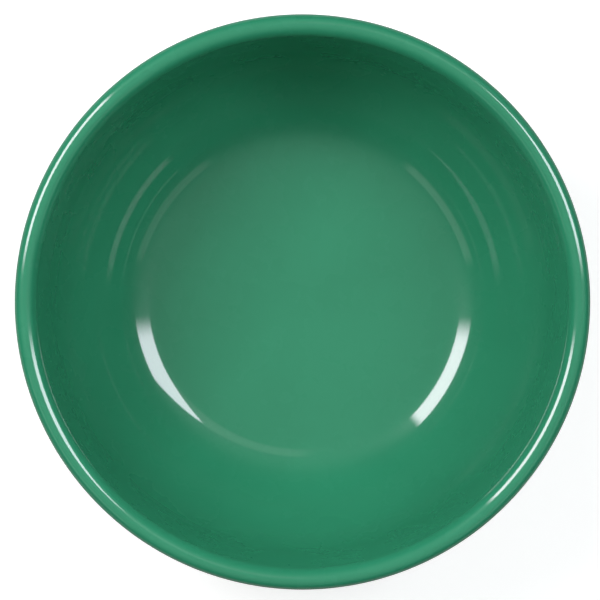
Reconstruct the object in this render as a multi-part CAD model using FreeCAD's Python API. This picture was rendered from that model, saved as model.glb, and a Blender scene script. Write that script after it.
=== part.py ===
"""Round, deep mixing bowl, compression moulded in one piece from melamine.

The bowl is a body of revolution about +Z, so one closed section describes it. The section is a chain of
straight runs and tangent arcs: a slightly dished floor, a rounded floor corner, a side that steepens into
a nearly upright collar, a thick rounded rim whose lip overhangs the wall, and a foot ring round a recess.
The recess is dished like the floor above it, which keeps the bottom one thickness throughout.
The origin is at the centre of the plane that the foot ring stands on.
Lengths are in millimetres and angles in degrees. A slope is the angle between the surface and the level.
"""

import FreeCAD
import Part

import math
import os

# Overall size. The floor height is that of the floor's centre above the plane the bowl stands on.
RIM_RADIUS = 120.0
FLOOR_HEIGHT = 8.4
WALL_THICKNESS = 4.0

# Inside of the bowl, in the order met from the floor's centre up to the rim
DISH_SLOPE = 3.6
CORNER_RADIUS = 27.5
CORNER_SLOPE = 33.7
SIDE_RADIUS = 64.7
COLLAR_SLOPE = 86.0
COLLAR_LENGTH = 28.4
RIM_INNER_RADIUS = 4.8

# Outside of the rim, and the lip under it
RIM_OUTER_RADIUS = 4.2
LIP_DEPTH = 6.4
LIP_EDGE_RADIUS = 1.5
LIP_ROOT_RADIUS = 2.5

# Foot ring, in the order met from the wall down to the recess
FOOT_ROOT_SLOPE = 14.0
FOOT_ROOT_RADIUS = 3.0
FOOT_SIDE_SLOPE = 78.0
FOOT_EDGE_RADIUS = 1.2
FOOT_FACE_WIDTH = 2.0
RECESS_ROOT_RADIUS = 1.6
RECESS_DEPTH = 5.4
RECESS_SLOPE = 3.4

UP = FreeCAD.Vector(0, 0, 1)
AXIS_POINT = FreeCAD.Vector(0, 0, 0)


class SectionPen:
    """Draws a chain of tangent lines and arcs in the XZ plane. The heading is in degrees, left from +X."""

    def __init__(self, x, z, heading):
        self.point = FreeCAD.Vector(x, 0, z)
        self.heading = heading
        self.edges = []

    def direction(self, turned=0.0):
        angle = math.radians(self.heading + turned)
        return FreeCAD.Vector(math.cos(angle), 0, math.sin(angle))

    def line(self, length):
        end = self.point + self.direction() * length
        self.edges.append(Part.LineSegment(self.point, end).toShape())
        self.point = end

    def line_to_x(self, x):
        self.line((x - self.point.x) / self.direction().x)

    def line_to_height(self, z):
        self.line((z - self.point.z) / self.direction().z)

    def arc(self, radius, turn):
        """Follows a circle through the angle turn, to the left where turn is positive."""
        to_centre = math.copysign(90, turn)
        centre = self.point + self.direction(to_centre) * radius
        middle = centre - self.direction(to_centre + turn / 2) * radius
        end = centre - self.direction(to_centre + turn) * radius
        self.edges.append(Part.Arc(self.point, middle, end).toShape())
        self.point = end
        self.heading += turn


def sine(degrees):
    return math.sin(math.radians(degrees))


def cosine(degrees):
    return math.cos(math.radians(degrees))


def floor_radius():
    """Radius at which the dished floor runs into the floor corner."""
    corner = CORNER_RADIUS * (sine(CORNER_SLOPE) - sine(DISH_SLOPE))
    side = SIDE_RADIUS * (sine(COLLAR_SLOPE) - sine(CORNER_SLOPE))
    collar = COLLAR_LENGTH * cosine(COLLAR_SLOPE)
    rim = RIM_INNER_RADIUS * sine(COLLAR_SLOPE) + RIM_OUTER_RADIUS
    return RIM_RADIUS - corner - side - collar - rim


def draw_inside(pen):
    """From the floor's centre up to the crown of the rim. Returns both ends of the collar's straight run."""
    pen.arc(floor_radius() / sine(DISH_SLOPE), DISH_SLOPE)
    pen.arc(CORNER_RADIUS, CORNER_SLOPE - DISH_SLOPE)
    pen.arc(SIDE_RADIUS, COLLAR_SLOPE - CORNER_SLOPE)
    collar_foot = pen.point
    pen.line(COLLAR_LENGTH)
    collar_top = pen.point
    # The rim turns outward, so the heading swings back from the collar's slope to level.
    pen.arc(RIM_INNER_RADIUS, -COLLAR_SLOPE)
    return collar_foot, collar_top


def draw_lip(pen, collar_top):
    """From the crown of the rim over its outer edge to the root of the lip, ending along the outer wall."""
    underside = pen.point.z - LIP_DEPTH
    pen.arc(RIM_OUTER_RADIUS, -90)
    pen.line_to_height(underside + LIP_EDGE_RADIUS)
    pen.arc(LIP_EDGE_RADIUS, -90)
    # The underside meets the outer wall's line here, one wall thickness outside the inner collar.
    rise = underside - collar_top.z
    wall_x = collar_top.x + (WALL_THICKNESS + rise * cosine(COLLAR_SLOPE)) / sine(COLLAR_SLOPE)
    pen.line_to_x(wall_x + LIP_ROOT_RADIUS * math.tan(math.radians(COLLAR_SLOPE / 2)))
    pen.arc(LIP_ROOT_RADIUS, COLLAR_SLOPE)


def draw_outside(pen, collar_foot):
    """Down the outer wall, which keeps one thickness from the inside, to the root of the foot ring."""
    pen.line_to_height(collar_foot.z - WALL_THICKNESS * cosine(COLLAR_SLOPE))
    pen.arc(SIDE_RADIUS + WALL_THICKNESS, CORNER_SLOPE - COLLAR_SLOPE)
    pen.arc(CORNER_RADIUS + WALL_THICKNESS, FOOT_ROOT_SLOPE - CORNER_SLOPE)


def draw_foot(pen):
    """From the root of the foot ring, round its standing face, to the centre of the recess."""
    pen.arc(FOOT_ROOT_RADIUS, FOOT_SIDE_SLOPE - FOOT_ROOT_SLOPE)
    pen.line_to_height(FOOT_EDGE_RADIUS * (1 - cosine(FOOT_SIDE_SLOPE)))
    pen.arc(FOOT_EDGE_RADIUS, -FOOT_SIDE_SLOPE)
    pen.line(FOOT_FACE_WIDTH)
    pen.arc(FOOT_EDGE_RADIUS, -FOOT_SIDE_SLOPE)
    pen.line_to_height(RECESS_DEPTH - RECESS_ROOT_RADIUS * (1 - cosine(FOOT_SIDE_SLOPE)))
    pen.arc(RECESS_ROOT_RADIUS, FOOT_SIDE_SLOPE + RECESS_SLOPE)
    # This radius brings the recess to the axis just as its surface comes level.
    pen.arc(pen.point.x / sine(RECESS_SLOPE), -RECESS_SLOPE)


def make_bowl():
    """The whole bowl as one solid: its section turned about the axis."""
    pen = SectionPen(0, FLOOR_HEIGHT, 0)
    collar_foot, collar_top = draw_inside(pen)
    draw_lip(pen, collar_top)
    draw_outside(pen, collar_foot)
    draw_foot(pen)
    on_axis = Part.LineSegment(pen.point, FreeCAD.Vector(0, 0, FLOOR_HEIGHT)).toShape()
    section = Part.Face(Part.Wire(pen.edges + [on_axis]))
    return section.revolve(AXIS_POINT, UP, 360)


os.makedirs("parts", exist_ok=True)
make_bowl().exportStep("parts/bowl.step")
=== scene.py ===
"""The looks of the mixing bowl: one glossy green melamine moulding on a pale table, under two soft boxes.

The bowl's section is the one that the CAD part turns about its axis. It is drawn here in metres and turned
into a fine mesh, whose surface has the faint waviness of a moulding. Angles are in degrees, and a slope is
the angle between the surface and the level.
"""

import math

import bmesh
import bpy
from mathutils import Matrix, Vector, noise


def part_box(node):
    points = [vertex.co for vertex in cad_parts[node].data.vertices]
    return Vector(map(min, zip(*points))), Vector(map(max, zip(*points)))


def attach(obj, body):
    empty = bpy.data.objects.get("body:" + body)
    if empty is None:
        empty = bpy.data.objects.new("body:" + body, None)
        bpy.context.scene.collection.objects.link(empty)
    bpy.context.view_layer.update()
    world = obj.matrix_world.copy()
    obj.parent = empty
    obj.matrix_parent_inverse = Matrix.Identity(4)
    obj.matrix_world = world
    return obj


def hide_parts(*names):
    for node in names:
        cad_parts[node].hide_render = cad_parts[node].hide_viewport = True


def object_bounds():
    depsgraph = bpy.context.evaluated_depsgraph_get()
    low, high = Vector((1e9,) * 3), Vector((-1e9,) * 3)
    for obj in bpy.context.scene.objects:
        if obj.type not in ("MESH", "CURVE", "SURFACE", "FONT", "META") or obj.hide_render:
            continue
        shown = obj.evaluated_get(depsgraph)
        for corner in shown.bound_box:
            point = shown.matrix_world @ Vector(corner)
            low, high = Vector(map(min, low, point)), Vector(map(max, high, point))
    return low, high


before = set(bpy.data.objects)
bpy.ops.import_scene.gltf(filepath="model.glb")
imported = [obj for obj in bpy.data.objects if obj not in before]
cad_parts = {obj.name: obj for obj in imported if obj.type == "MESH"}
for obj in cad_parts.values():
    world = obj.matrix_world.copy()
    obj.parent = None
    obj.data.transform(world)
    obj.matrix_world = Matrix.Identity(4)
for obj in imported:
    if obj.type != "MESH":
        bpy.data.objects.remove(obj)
cad_low, cad_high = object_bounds()

# ---- The bowl's section, in metres, as in the CAD part ---------------------------------------------------

RIM_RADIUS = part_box("bowl")[1].x
RIM_HEIGHT = cad_high.z
FLOOR_HEIGHT = 0.0084
WALL_THICKNESS = 0.0040

DISH_SLOPE = 3.6
CORNER_RADIUS = 0.0275
CORNER_SLOPE = 33.7
SIDE_RADIUS = 0.0647
COLLAR_SLOPE = 86.0
COLLAR_LENGTH = 0.0284
RIM_INNER_RADIUS = 0.0048

RIM_OUTER_RADIUS = 0.0042
LIP_DEPTH = 0.0064
LIP_EDGE_RADIUS = 0.0015
LIP_ROOT_RADIUS = 0.0025

FOOT_ROOT_SLOPE = 14.0
FOOT_ROOT_RADIUS = 0.0030
FOOT_SIDE_SLOPE = 78.0
FOOT_EDGE_RADIUS = 0.0012
FOOT_FACE_WIDTH = 0.0020
RECESS_ROOT_RADIUS = 0.0016
RECESS_DEPTH = 0.0054
RECESS_SLOPE = 3.4

# ---- The mesh's fineness, and the moulding's waviness, which spares the foot's standing face -------------

SEGMENTS = 320
ARC_STEP = 4.0
LONGEST_RUN = 0.003
WAVE_HEIGHT = 0.00003
WAVE_LENGTH = 0.035
FLAT_BELOW = 0.00005


def sine(degrees):
    return math.sin(math.radians(degrees))


def cosine(degrees):
    return math.cos(math.radians(degrees))


class SectionPen:
    """Draws a chain of tangent lines and arcs in the XZ plane, as points close enough to look smooth."""

    def __init__(self, x, z):
        self.point = Vector((x, z))
        self.heading = 0.0
        self.points = [self.point.copy()]

    def direction(self, turned=0.0):
        return Vector((cosine(self.heading + turned), sine(self.heading + turned)))

    def line(self, length):
        start = self.point
        steps = max(1, math.ceil(length / LONGEST_RUN))
        for step in range(1, steps + 1):
            self.points.append(start + self.direction() * length * step / steps)
        self.point = self.points[-1]

    def line_to_x(self, x):
        self.line((x - self.point.x) / self.direction().x)

    def line_to_height(self, z):
        self.line((z - self.point.y) / self.direction().y)

    def arc(self, radius, turn):
        """Follows a circle through the angle turn, to the left where turn is positive."""
        to_centre = math.copysign(90, turn)
        centre = self.point + self.direction(to_centre) * radius
        length = radius * math.radians(abs(turn))
        steps = max(math.ceil(abs(turn) / ARC_STEP), math.ceil(length / LONGEST_RUN))
        for step in range(1, steps + 1):
            self.points.append(centre - self.direction(to_centre + turn * step / steps) * radius)
        self.point = self.points[-1]
        self.heading += turn


def draw_inside(pen):
    """From the floor's centre up to the crown of the rim. Returns both ends of the collar's straight run."""
    corner = CORNER_RADIUS * (sine(CORNER_SLOPE) - sine(DISH_SLOPE))
    side = SIDE_RADIUS * (sine(COLLAR_SLOPE) - sine(CORNER_SLOPE))
    collar = COLLAR_LENGTH * cosine(COLLAR_SLOPE)
    rim = RIM_INNER_RADIUS * sine(COLLAR_SLOPE) + RIM_OUTER_RADIUS
    floor_radius = RIM_RADIUS - corner - side - collar - rim
    pen.arc(floor_radius / sine(DISH_SLOPE), DISH_SLOPE)
    pen.arc(CORNER_RADIUS, CORNER_SLOPE - DISH_SLOPE)
    pen.arc(SIDE_RADIUS, COLLAR_SLOPE - CORNER_SLOPE)
    collar_foot = pen.point
    pen.line(COLLAR_LENGTH)
    collar_top = pen.point
    pen.arc(RIM_INNER_RADIUS, -COLLAR_SLOPE)
    return collar_foot, collar_top


def draw_outside(pen, collar_foot, collar_top):
    """Over the rim's outer edge, under the lip and down the outer wall to the root of the foot ring."""
    underside = pen.point.y - LIP_DEPTH
    pen.arc(RIM_OUTER_RADIUS, -90)
    pen.line_to_height(underside + LIP_EDGE_RADIUS)
    pen.arc(LIP_EDGE_RADIUS, -90)
    rise = underside - collar_top.y
    wall_x = collar_top.x + (WALL_THICKNESS + rise * cosine(COLLAR_SLOPE)) / sine(COLLAR_SLOPE)
    pen.line_to_x(wall_x + LIP_ROOT_RADIUS * math.tan(math.radians(COLLAR_SLOPE / 2)))
    pen.arc(LIP_ROOT_RADIUS, COLLAR_SLOPE)
    pen.line_to_height(collar_foot.y - WALL_THICKNESS * cosine(COLLAR_SLOPE))
    pen.arc(SIDE_RADIUS + WALL_THICKNESS, CORNER_SLOPE - COLLAR_SLOPE)
    pen.arc(CORNER_RADIUS + WALL_THICKNESS, FOOT_ROOT_SLOPE - CORNER_SLOPE)


def draw_foot(pen):
    """From the root of the foot ring, round its standing face, to the centre of the recess."""
    pen.arc(FOOT_ROOT_RADIUS, FOOT_SIDE_SLOPE - FOOT_ROOT_SLOPE)
    pen.line_to_height(FOOT_EDGE_RADIUS * (1 - cosine(FOOT_SIDE_SLOPE)))
    pen.arc(FOOT_EDGE_RADIUS, -FOOT_SIDE_SLOPE)
    pen.line(FOOT_FACE_WIDTH)
    pen.arc(FOOT_EDGE_RADIUS, -FOOT_SIDE_SLOPE)
    pen.line_to_height(RECESS_DEPTH - RECESS_ROOT_RADIUS * (1 - cosine(FOOT_SIDE_SLOPE)))
    pen.arc(RECESS_ROOT_RADIUS, FOOT_SIDE_SLOPE + RECESS_SLOPE)
    pen.arc(pen.point.x / sine(RECESS_SLOPE), -RECESS_SLOPE)


def bowl_section():
    """The section's points, from the floor's centre round to the recess's centre, both on the axis."""
    pen = SectionPen(0, FLOOR_HEIGHT)
    collar_foot, collar_top = draw_inside(pen)
    draw_outside(pen, collar_foot, collar_top)
    draw_foot(pen)
    return pen.points


def turned_mesh(name, section):
    """The section turned about the axis. Its first and last points are the two poles."""
    mesh = bmesh.new()
    first_pole = mesh.verts.new((0, 0, section[0].y))
    last_pole = mesh.verts.new((0, 0, section[-1].y))
    angles = [2 * math.pi * segment / SEGMENTS for segment in range(SEGMENTS)]
    rings = [
        [mesh.verts.new((point.x * math.cos(angle), point.x * math.sin(angle), point.y)) for angle in angles]
        for point in section[1:-1]
    ]
    for segment in range(SEGMENTS):
        following = (segment + 1) % SEGMENTS
        mesh.faces.new((first_pole, rings[0][segment], rings[0][following]))
        mesh.faces.new((last_pole, rings[-1][following], rings[-1][segment]))
        for ring, outer_ring in zip(rings, rings[1:]):
            mesh.faces.new((ring[segment], outer_ring[segment], outer_ring[following], ring[following]))
    for face in mesh.faces:
        face.smooth = True
    mesh.normal_update()
    for vertex in mesh.verts:
        if vertex.co.z > FLAT_BELOW:
            vertex.co += vertex.normal * WAVE_HEIGHT * noise.noise(vertex.co / WAVE_LENGTH)
    data = bpy.data.meshes.new(name)
    mesh.to_mesh(data)
    mesh.free()
    return data


def make_bowl():
    return bpy.data.objects.new("bowl_shell", turned_mesh("bowl_shell", bowl_section()))


# ---- Node trees ------------------------------------------------------------------------------------------


class Graph:
    """Adds nodes to the tree of a material, a light or the world."""

    def __init__(self, owner):
        owner.use_nodes = True
        self.nodes = owner.node_tree.nodes
        self.links = owner.node_tree.links

    def put(self, socket, value):
        if isinstance(value, bpy.types.NodeSocket):
            self.links.new(value, socket)
        else:
            socket.default_value = value

    def node(self, kind, *values, **settings):
        """A new node. The values go to its sockets in order, and the settings are its properties."""
        node = self.nodes.new("ShaderNode" + kind)
        for name, value in settings.items():
            setattr(node, name, value)
        for socket, value in zip(node.inputs, values):
            self.put(socket, value)
        return node

    def math(self, operation, *values):
        return self.node("Math", *values, operation=operation).outputs[0]

    def vector_math(self, operation, *values):
        return self.node("VectorMath", *values, operation=operation)

    def ramp(self, value, start, end, low=0.0, high=1.0):
        """Goes smoothly from low where value is start to high where value is end."""
        node = self.node("MapRange", interpolation_type="SMOOTHSTEP")
        for name, setting in (("Value", value), ("From Min", start), ("From Max", end),
                              ("To Min", low), ("To Max", high)):
            self.put(node.inputs[name], setting)
        return node.outputs["Result"]

    def ends(self, value, low, high):
        """1 along the middle of the range from 0 to 1, and falling to 0 over a low and a high stretch."""
        return self.math("MULTIPLY", self.ramp(value, 0.0, low), self.ramp(value, 1.0, 1.0 - high))

    def noise(self, place, scale, detail=2.0):
        node = self.node("TexNoise")
        for name, setting in (("Vector", place), ("Scale", scale), ("Detail", detail)):
            self.put(node.inputs[name], setting)
        return node.outputs["Fac"]

    def bump(self, height, pattern):
        """A bump of this height in metres, where pattern goes from 0 to 1."""
        node = self.node("Bump")
        for name, setting in (("Strength", 1.0), ("Distance", height), ("Height", pattern)):
            self.put(node.inputs[name], setting)
        return node

    def mix(self, factor, first, second):
        """The first colour where factor is 0, and the second where it is 1."""
        node = self.node("Mix", data_type="RGBA")
        for name, setting in (("Factor", factor), ("A", first), ("B", second)):
            self.put(next(s for s in node.inputs if s.name == name and s.enabled), setting)
        return next(s for s in node.outputs if s.enabled)


# ---- Materials -------------------------------------------------------------------------------------------

DEEPER_GREEN = (0.0226, 0.218, 0.1060, 1.0)
PALER_GREEN = (0.0246, 0.232, 0.1140, 1.0)
WORN_GREEN = (0.085, 0.27, 0.175, 1.0)
DUST_COLOUR = (0.62, 0.66, 0.64, 1.0)

# The scale of each pattern: about how many of its features there are in a metre
CLOUD_SCALE = 22.0
GRAIN_SCALE = 1500.0
SCUFF_SCALE = 900.0
DUST_SCALE = 140.0
HANDLING_SCALE = 35.0
HAZE_SCALE = 60.0
RIPPLE_SCALE = 260.0
ROUGH_SCALE = 2500.0

# The rim's matt edge starts and is full at these distances inside the rim's radius. It adds these
# roughnesses to the coat and to the body, and takes away this much of the coat.
TRIM_STARTS = 0.0010
TRIM_FULL = 0.0004
TRIM_COAT_ROUGHNESS = 0.30
TRIM_BODY_ROUGHNESS = 0.35
TRIM_COAT_LOSS = 0.9

# The foot ring's matt face starts and is full at these heights. It adds this roughness to the coat, and its
# scuffs take up this much of the worn green.
FACE_STARTS = 0.0004
FACE_FULL = 0.0001
FACE_COAT_ROUGHNESS = 0.45
FACE_WEAR = 0.7

# The pigment's unevenness is this much broad clouds and this much fine grain.
CLOUD_SHARE = 0.75
GRAIN_SHARE = 0.25

# A cell of the dust's random pattern holds a speck if its random value is above the threshold. The edge and
# the core are shares of a cell's width, and the cover is how much of the green a speck hides.
DUST_THRESHOLD = 0.9935
DUST_EDGE = 0.055
DUST_CORE = 0.02
DUST_COVER = 0.45
DUST_COAT_ROUGHNESS = 0.4

# The sharp skin and the hazy body under it. Each roughness wanders between two values.
SKIN_SMOOTHEST = 0.030
SKIN_ROUGHEST = 0.050
BODY_SMOOTHEST = 0.24
BODY_ROUGHEST = 0.30
MELAMINE_IOR = 1.55
BODY_SPECULAR = 0.07

# The bumps' heights in metres
RIPPLE_HEIGHT = 0.0000003
ROUGH_HEIGHT = 0.00002


def pigment(graph, place):
    """The green is a little uneven, in broad clouds and as the fine grain of the filler."""
    clouds = graph.ramp(graph.noise(place, CLOUD_SCALE, detail=3.0), start=0.35, end=0.65)
    grain = graph.ramp(graph.noise(place, GRAIN_SCALE), start=0.30, end=0.70)
    unevenness = graph.math("MULTIPLY_ADD", grain, GRAIN_SHARE, graph.math("MULTIPLY", clouds, CLOUD_SHARE))
    return graph.mix(unevenness, DEEPER_GREEN, PALER_GREEN)


def dust_specks(graph, place):
    """A few grains of dust: about one in a hundred and fifty of the cells of a random pattern holds one."""
    cells = graph.node("TexVoronoi", place, feature="F1")
    cells.inputs["Scale"].default_value = DUST_SCALE
    cell_value = graph.node("SeparateColor", cells.outputs["Color"]).outputs[0]
    chosen = graph.math("GREATER_THAN", cell_value, DUST_THRESHOLD)
    return graph.math("MULTIPLY", chosen, graph.ramp(cells.outputs["Distance"], DUST_EDGE, DUST_CORE))


def surface_bumps(graph, place, unpolished):
    """The moulding's skin ripples very slightly, and the unpolished places are rough to the touch."""
    ripple = graph.bump(RIPPLE_HEIGHT, graph.noise(place, RIPPLE_SCALE))
    rough = graph.bump(ROUGH_HEIGHT, graph.math("MULTIPLY", graph.noise(place, ROUGH_SCALE), unpolished))
    graph.put(rough.inputs["Normal"], ripple.outputs["Normal"])
    return rough.outputs["Normal"]


def melamine():
    """Green melamine, polished by the mould: a sharp skin over a slightly hazy body."""
    material = bpy.data.materials.new("green_melamine")
    graph = Graph(material)
    shader = graph.nodes["Principled BSDF"]
    place = graph.node("TexCoord").outputs["Object"]
    height = graph.node("SeparateXYZ", place).outputs["Z"]
    flat_place = graph.vector_math("MULTIPLY", place, (1.0, 1.0, 0.0)).outputs["Vector"]
    radius = graph.vector_math("LENGTH", flat_place).outputs["Value"]

    # Two places are not polished: the rim's outermost edge, where the flash was trimmed off, and the foot's
    # standing face, which is scuffed as well.
    trimmed = graph.ramp(radius, RIM_RADIUS - TRIM_STARTS, RIM_RADIUS - TRIM_FULL)
    standing = graph.ramp(height, FACE_STARTS, FACE_FULL)
    scuffs = graph.ramp(graph.noise(place, SCUFF_SCALE, detail=3.0), start=0.38, end=0.62)
    worn = graph.math("MULTIPLY", standing, scuffs)
    speck = dust_specks(graph, place)

    colour = graph.mix(graph.math("MULTIPLY", worn, FACE_WEAR), pigment(graph, place), WORN_GREEN)
    colour = graph.mix(graph.math("MULTIPLY", speck, DUST_COVER), colour, DUST_COLOUR)
    graph.put(shader.inputs["Base Color"], colour)

    # The skin is the shader's coat. It is duller where hands have been, and dullest where it isn't polished.
    handled = graph.ramp(graph.noise(place, HANDLING_SCALE, detail=4.0), start=0.35, end=0.70,
                         low=SKIN_SMOOTHEST, high=SKIN_ROUGHEST)
    matt = graph.math("MAXIMUM", graph.math("MULTIPLY", trimmed, TRIM_COAT_ROUGHNESS),
                      graph.math("MULTIPLY", standing, FACE_COAT_ROUGHNESS))
    matt = graph.math("MAXIMUM", matt, graph.math("MULTIPLY", speck, DUST_COAT_ROUGHNESS))
    graph.put(shader.inputs["Coat Roughness"], graph.math("ADD", handled, matt))
    lost_coat = graph.math("MULTIPLY", trimmed, TRIM_COAT_LOSS)
    graph.put(shader.inputs["Coat Weight"], graph.math("SUBTRACT", 1.0, lost_coat))
    shader.inputs["Coat IOR"].default_value = MELAMINE_IOR

    haze = graph.ramp(graph.noise(place, HAZE_SCALE, detail=3.0), start=0.3, end=0.7,
                      low=BODY_SMOOTHEST, high=BODY_ROUGHEST)
    graph.put(shader.inputs["Roughness"], graph.math("MULTIPLY_ADD", trimmed, TRIM_BODY_ROUGHNESS, haze))
    shader.inputs["IOR"].default_value = MELAMINE_IOR
    shader.inputs["Specular IOR Level"].default_value = BODY_SPECULAR

    normal = surface_bumps(graph, place, graph.math("ADD", trimmed, worn))
    graph.put(shader.inputs["Normal"], normal)
    graph.put(shader.inputs["Coat Normal"], normal)
    return material


TABLE_COLOUR = (0.60, 0.63, 0.59, 1.0)
TABLE_ROUGHNESS = 0.6
TABLE_GLOW = 0.60
TABLE_SIZE = 6.0
WHITE = (1.0, 1.0, 1.0, 1.0)


def table_top():
    """A pale shooting table. The camera sees it glow, as a white background that lights nothing."""
    material = bpy.data.materials.new("white_table")
    graph = Graph(material)
    shader = graph.nodes["Principled BSDF"]
    graph.put(shader.inputs["Base Color"], TABLE_COLOUR)
    graph.put(shader.inputs["Roughness"], TABLE_ROUGHNESS)
    graph.put(shader.inputs["Emission Color"], WHITE)
    seen = graph.node("LightPath").outputs["Is Camera Ray"]
    graph.put(shader.inputs["Emission Strength"], graph.math("MULTIPLY", seen, TABLE_GLOW))
    return material


# ---- The bowl and the table ------------------------------------------------------------------------------

bowl = make_bowl()
bpy.context.scene.collection.objects.link(bowl)
bowl.data.materials.append(melamine())
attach(bowl, "root")
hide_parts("bowl")

bpy.ops.mesh.primitive_plane_add(size=TABLE_SIZE)
table = bpy.context.object
table.name = "table"
table.data.materials.append(table_top())

# ---- The lights ------------------------------------------------------------------------------------------

SOFT_EDGE = 0.14
PANEL_DISTANCE = 0.57

COOL_WHITE = (1.0, 0.93, 1.02)
COOLER_WHITE = (1.0, 0.97, 1.09)
NEUTRAL = (1.0, 1.0, 1.0)

# The right soft box has two of its corners cut off, both on the same side.
LOW_CORNER_FLAG = (-0.867, 0.51, 0.43)
HIGH_CORNER_FLAG = (1.13, 1.77, 1.66)

SKY_STARTS = 0.25
SKY_FULL = 1.00
SKY_RADIANCE = 0.38
GLOW_BELOW = 0.45
GLOW_BELOW_FULL = -0.30
WALL_BRIGHTNESS = 0.85


def soft_panel(name, place, facing, width, length, radiance, colour,
               low_end=SOFT_EDGE, high_end=SOFT_EDGE, low_side=SOFT_EDGE, high_side=SOFT_EDGE, flags=()):
    """A rectangular light that fades towards its edges, over these shares of its length and of its width.

    Each flag is a slant, a start and an end. It blacks out the corner past the line where
    across + slant * along is start, and fades out towards the line where that sum is end. Both coordinates
    run from 0 to 1 over the panel's face.
    """
    data = bpy.data.lights.new(name, "AREA")
    data.shape = "RECTANGLE"
    data.size = width
    data.size_y = length
    data.energy = radiance * math.pi * width * length
    data.color = colour
    graph = Graph(data)
    parametric = graph.node("NewGeometry").outputs["Parametric"]
    across, along, _ = graph.node("SeparateXYZ", parametric).outputs
    strength = graph.math("MULTIPLY", graph.ends(along, low_end, high_end),
                          graph.ends(across, low_side, high_side))
    for slant, start, end in flags:
        past = graph.math("MULTIPLY_ADD", along, slant, across)
        strength = graph.math("MULTIPLY", strength, graph.ramp(past, start, end))
    graph.put(graph.nodes["Emission"].inputs["Strength"], strength)
    light = bpy.data.objects.new(name, data)
    light.location = place
    light.rotation_euler = facing.to_track_quat("-Z", "Y").to_euler()
    light.visible_camera = False
    bpy.context.scene.collection.objects.link(light)


def upright_panel(name, azimuth, width, lowest, highest, radiance, colour, **shape):
    """A soft panel that stands upright and faces the bowl. Its heights are above the rim."""
    out = Vector((cosine(azimuth), sine(azimuth), 0))
    place = out * PANEL_DISTANCE + Vector((0, 0, RIM_HEIGHT + (lowest + highest) / 2))
    soft_panel(name, place, -out, width, highest - lowest, radiance, colour, **shape)


def sky():
    """A soft ceiling, brightest overhead, and a dim glow from below, where the table doesn't hide it.

    Rise is the height that a direction gains over its length. The camera sees all of it as a pale wall.
    """
    world = bpy.data.worlds.new("studio")
    graph = Graph(world)
    direction = graph.node("TexCoord").outputs["Generated"]
    rise = graph.node("SeparateXYZ", direction).outputs["Z"]
    ceiling = graph.ramp(rise, SKY_STARTS, SKY_FULL, 0.0, SKY_RADIANCE)
    below = graph.ramp(rise, 0.0, GLOW_BELOW_FULL, 0.0, GLOW_BELOW)
    seen = graph.node("LightPath").outputs["Is Camera Ray"]
    wall = graph.math("MULTIPLY", seen, WALL_BRIGHTNESS)
    background = graph.nodes["Background"]
    graph.put(background.inputs["Color"], WHITE)
    graph.put(background.inputs["Strength"], graph.math("MAXIMUM", wall, graph.math("ADD", ceiling, below)))
    return world


upright_panel("left_soft_box", azimuth=153.5, width=0.46, lowest=0.37, highest=1.10, radiance=14.2,
              colour=COOL_WHITE, low_end=0.06, high_end=0.17, low_side=0.10, high_side=0.24)
upright_panel("right_soft_box", azimuth=28, width=0.50, lowest=0.43, highest=1.56, radiance=11.2,
              colour=COOLER_WHITE, low_end=0.05, high_end=0.12, low_side=0.22, high_side=0.09,
              flags=[LOW_CORNER_FLAG, HIGH_CORNER_FLAG])
upright_panel("left_fill", azimuth=213, width=0.46, lowest=0.25, highest=0.48, radiance=0.7, colour=NEUTRAL)
upright_panel("right_fill", azimuth=325, width=0.50, lowest=0.30, highest=0.60, radiance=0.40,
              colour=NEUTRAL)
soft_panel("ceiling_bounce", place=Vector((0.25, 0.48, RIM_HEIGHT + 1.5)), facing=Vector((0, 0, -1)),
           width=0.60, length=0.50, radiance=0.5, colour=NEUTRAL)
bpy.context.scene.world = sky()

# ---- The camera ------------------------------------------------------------------------------------------

# It looks straight down the bowl's axis. Sensor and lens are in millimetres, and the shifts, which say how
# far right and down the axis lies from the picture's centre, are shares of the picture's width.
CAMERA_ABOVE_RIM = 0.656
SENSOR_WIDTH = 36.0
LENS = 94.94
SHIFT_RIGHT = 0.0041667
SHIFT_DOWN = 0.00325

camera_data = bpy.data.cameras.new("camera")
camera_data.sensor_width = SENSOR_WIDTH
camera_data.lens = LENS
camera_data.shift_x = -SHIFT_RIGHT
camera_data.shift_y = SHIFT_DOWN
camera = bpy.data.objects.new("camera", camera_data)
camera.location = (0, 0, RIM_HEIGHT + CAMERA_ABOVE_RIM)
bpy.context.scene.collection.objects.link(camera)
bpy.context.scene.camera = camera
bpy.context.scene.view_settings.view_transform = "Standard"
